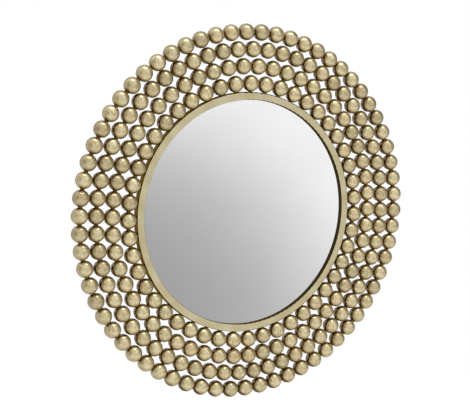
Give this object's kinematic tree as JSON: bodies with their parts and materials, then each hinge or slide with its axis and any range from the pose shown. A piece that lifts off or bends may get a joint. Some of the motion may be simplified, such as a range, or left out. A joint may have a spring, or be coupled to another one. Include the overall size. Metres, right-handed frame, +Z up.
{
  "type": "wall mirror",
  "caption": "Round wall mirror: flat glass in a pressed trim ring, framed by concentric rings of hollow metal balls brazed together on wire hoops.",
  "frame": {"origin": "centre of the disc, in the plane that holds the centres of all the balls", "axes": "+Z up as it hangs, -Y out of the face of the glass, +X to the right of a person looking into it; the wall lies at Y = 19 mm"},
  "size_m": [0.8028, 0.0369, 0.8036],
  "materials": {
    "champagne_balls": "satin brushed champagne plating",
    "champagne_trim": "satin brushed champagne plating",
    "hoop_wire": "satin plating",
    "brazing": "dull plated braze",
    "silvered_glass": "polished",
    "foam_tape": "closed-cell foam",
    "bonding_foam": "closed-cell foam",
    "fibreboard": "raw hard-pressed",
    "zinc_steel": "bright zinc plate",
    "bumper_rubber": "matte"
  },
  "bodies": {
    "mirror": {"trim_ring": "champagne_trim", "glazing_tape": "foam_tape", "mirror_glass": "silvered_glass", "bonding_pads": "bonding_foam", "backing_board": "fibreboard", "hoop_1": "hoop_wire", "hoop_2": "hoop_wire", "hoop_3": "hoop_wire", "hoop_4": "hoop_wire", "balls_1": "champagne_balls", "balls_2": "champagne_balls", "balls_3": "champagne_balls", "balls_4": "champagne_balls", "hoop_brazing_1": "brazing", "hoop_brazing_2": "brazing", "hoop_brazing_3": "brazing", "hoop_brazing_4": "brazing", "trim_brazing": "brazing", "ring_brazing_1_2": "brazing", "ring_brazing_2_3": "brazing", "ring_brazing_3_4": "brazing", "hanger_strap_left": "zinc_steel", "hanger_strap_right": "zinc_steel", "hanger_screws": "zinc_steel", "wall_bumpers": "bumper_rubber"},
    "left_hanger_ring": {"hanger_ring_left": "zinc_steel"},
    "right_hanger_ring": {"hanger_ring_right": "zinc_steel"}
  },
  "joints": [
    {"name": "left_ring_swing", "type": "hinge", "parent": "mirror", "child": "left_hanger_ring", "pos_m": [-0.13, 0.0141, 0.12], "axis": [-1, 0, 0], "range_deg": [0, 185]},
    {"name": "right_ring_swing", "type": "hinge", "parent": "mirror", "child": "right_hanger_ring", "pos_m": [0.13, 0.0141, 0.12], "axis": [-1, 0, 0], "range_deg": [0, 185]}
  ]
}
